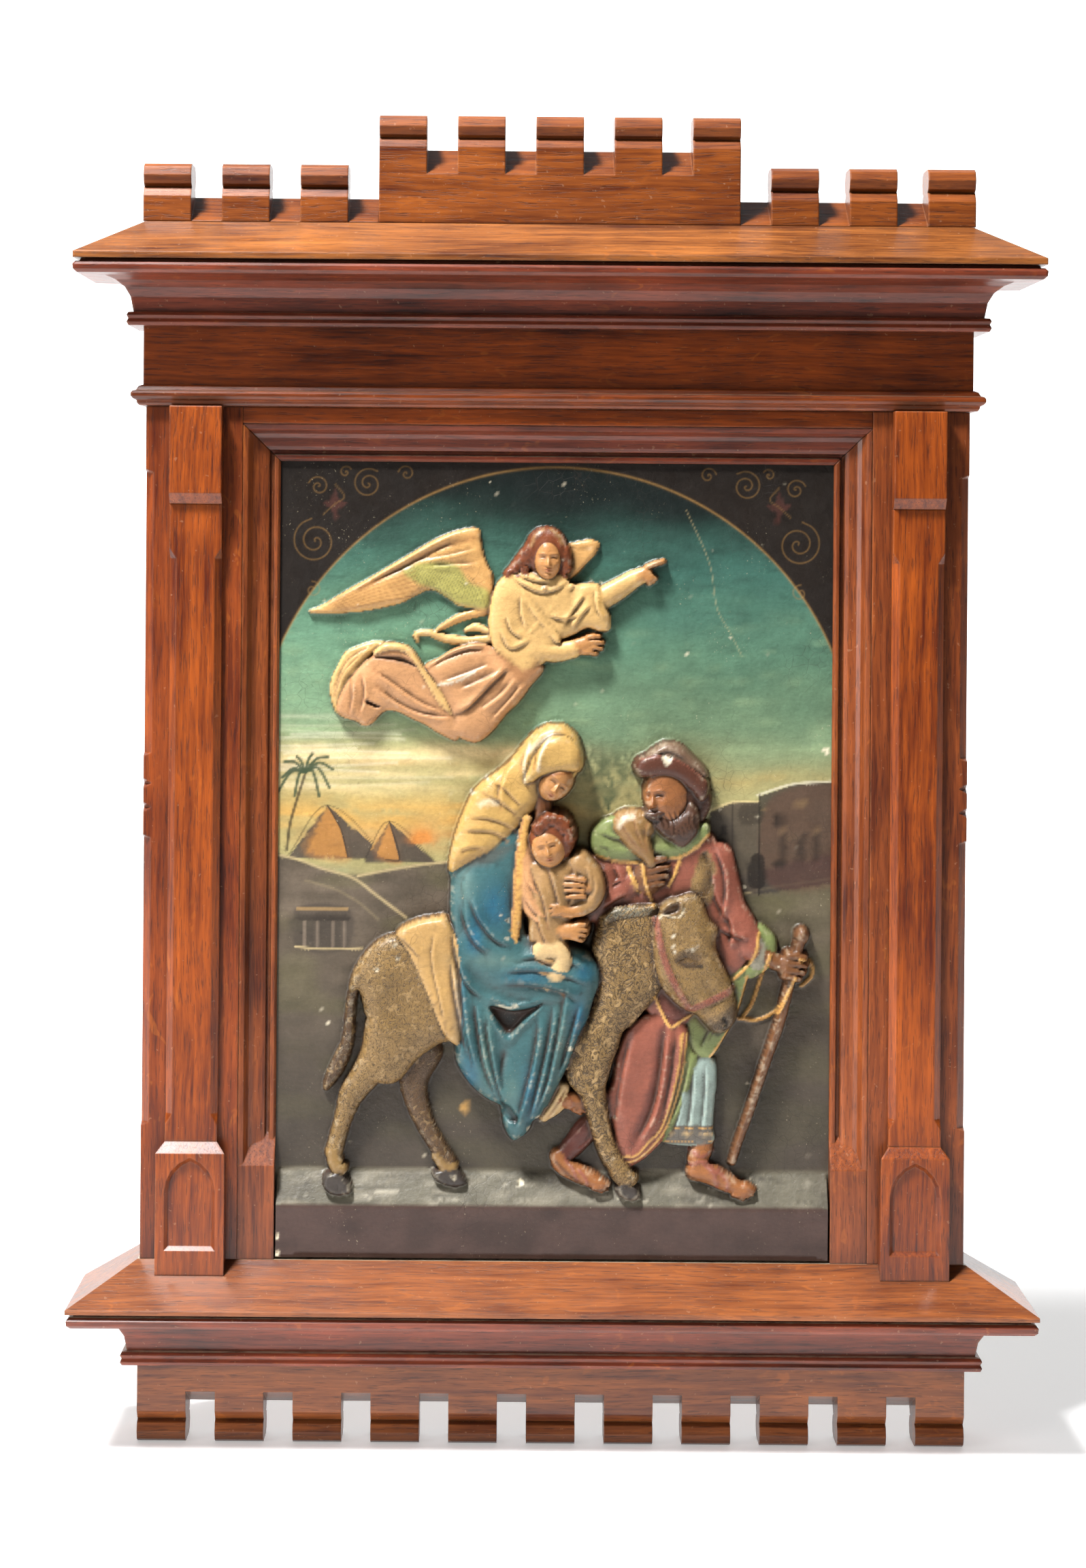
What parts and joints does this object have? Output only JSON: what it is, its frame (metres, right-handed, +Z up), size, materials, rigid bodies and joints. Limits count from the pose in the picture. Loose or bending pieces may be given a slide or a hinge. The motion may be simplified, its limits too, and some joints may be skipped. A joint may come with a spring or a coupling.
{
  "type": "framed plaster relief",
  "caption": "Painted plaster relief of a family travelling by donkey under an angel, in an oak architectural frame with a battlemented crest and apron.",
  "frame": {"origin": "on the floor, under the middle of the whole object", "axes": "+Z up, +X to the viewer's right, -Y out of the front of the relief"},
  "size_m": [0.9186, 0.135, 1.28],
  "materials": {
    "oak": "dark red-brown stain under worn satin varnish",
    "oak_inside": "unvarnished",
    "painted_plaster": "worn oil paint on cast plaster"
  },
  "bodies": {
    "root": {"back_board": "oak_inside", "case_side_left": "oak", "case_side_right": "oak", "stile_left": "oak", "stile_right": "oak", "top_rail": "oak", "sight_moulding_top": "oak", "sight_moulding_left": "oak", "sight_moulding_right": "oak", "pilaster_head_left": "oak", "pilaster_head_right": "oak", "pilaster_shaft_left": "oak", "pilaster_shaft_right": "oak", "pilaster_base_left": "oak", "pilaster_base_right": "oak", "frieze_board": "oak", "architrave_front": "oak", "architrave_left": "oak", "architrave_right": "oak", "cornice_moulding_front": "oak", "cornice_moulding_left": "oak", "cornice_moulding_right": "oak", "sill_moulding_front": "oak", "sill_moulding_left": "oak", "sill_moulding_right": "oak", "sill_board": "oak", "cornice_cap": "oak", "crest_left": "oak", "crest_centre": "oak", "crest_right": "oak", "apron_front": "oak", "apron_return_left": "oak", "apron_return_right": "oak", "relief_panel": "painted_plaster"}
  },
  "joints": []
}
